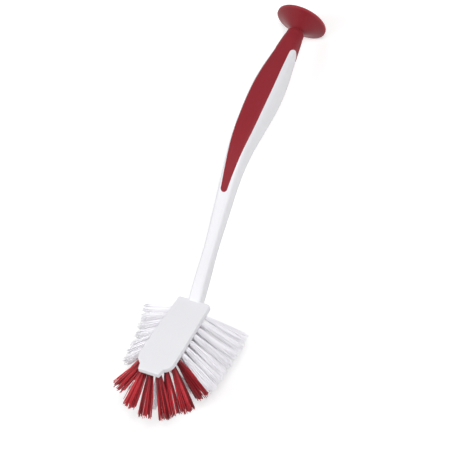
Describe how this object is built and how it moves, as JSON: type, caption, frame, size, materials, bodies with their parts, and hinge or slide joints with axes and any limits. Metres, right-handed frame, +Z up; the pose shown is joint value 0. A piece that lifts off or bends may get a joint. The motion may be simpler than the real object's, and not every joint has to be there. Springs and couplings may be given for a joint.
{
  "type": "dish brush",
  "caption": "Long-handled dish brush: bent neck, flat scraper-nosed head with fanned tufts, soft grip let into the handle and a suction cup on its end.",
  "frame": {"origin": "under the middle of the brush's box, on the surface it lies on", "axes": "+X along the brush towards the nose of the head, +Y to the side whose tufts are named right, +Z up; the brush lies on its tufts and the lower edge of the cup"},
  "size_m": [0.2808, 0.0784, 0.0562],
  "materials": {
    "handle_plastic": "satin",
    "grip_rubber": "matt",
    "cup_rubber": "satin",
    "white_filament": "satin",
    "red_filament": "satin",
    "anchor_steel": "bright"
  },
  "bodies": {
    "brush": {"handle_core": "handle_plastic", "grip_sleeve": "grip_rubber", "tuft_anchors": "anchor_steel", "nose_tuft_1": "red_filament", "nose_tuft_2": "red_filament", "nose_tuft_3": "red_filament", "nose_tuft_4": "red_filament", "nose_tuft_5": "red_filament", "nose_tuft_6": "red_filament", "nose_tuft_7": "red_filament", "nose_tuft_8": "red_filament", "side_tuft_right_1": "white_filament", "side_tuft_right_2": "white_filament", "side_tuft_right_3": "white_filament", "side_tuft_right_4": "white_filament", "side_tuft_right_5": "white_filament", "side_tuft_right_6": "white_filament", "side_tuft_right_7": "white_filament", "inner_tuft_right_1": "white_filament", "inner_tuft_right_2": "white_filament", "inner_tuft_right_3": "white_filament", "inner_tuft_right_4": "white_filament", "inner_tuft_right_5": "white_filament", "inner_tuft_right_6": "white_filament", "inner_tuft_right_7": "white_filament", "side_tuft_left_1": "white_filament", "side_tuft_left_2": "white_filament", "side_tuft_left_3": "white_filament", "side_tuft_left_4": "white_filament", "side_tuft_left_5": "white_filament", "side_tuft_left_6": "white_filament", "side_tuft_left_7": "white_filament", "inner_tuft_left_1": "white_filament", "inner_tuft_left_2": "white_filament", "inner_tuft_left_3": "white_filament", "inner_tuft_left_4": "white_filament", "inner_tuft_left_5": "white_filament", "inner_tuft_left_6": "white_filament", "inner_tuft_left_7": "white_filament", "inner_nose_tuft_1": "white_filament", "inner_nose_tuft_2": "white_filament", "inner_nose_tuft_3": "white_filament"},
    "cup": {"suction_cup": "cup_rubber"}
  },
  "joints": [
    {"name": "cup_swivel", "type": "hinge", "parent": "brush", "child": "cup", "pos_m": [-0.12722, 0, 0.01868], "axis": [-0.9675, 0, -0.2527], "continuous": true}
  ]
}
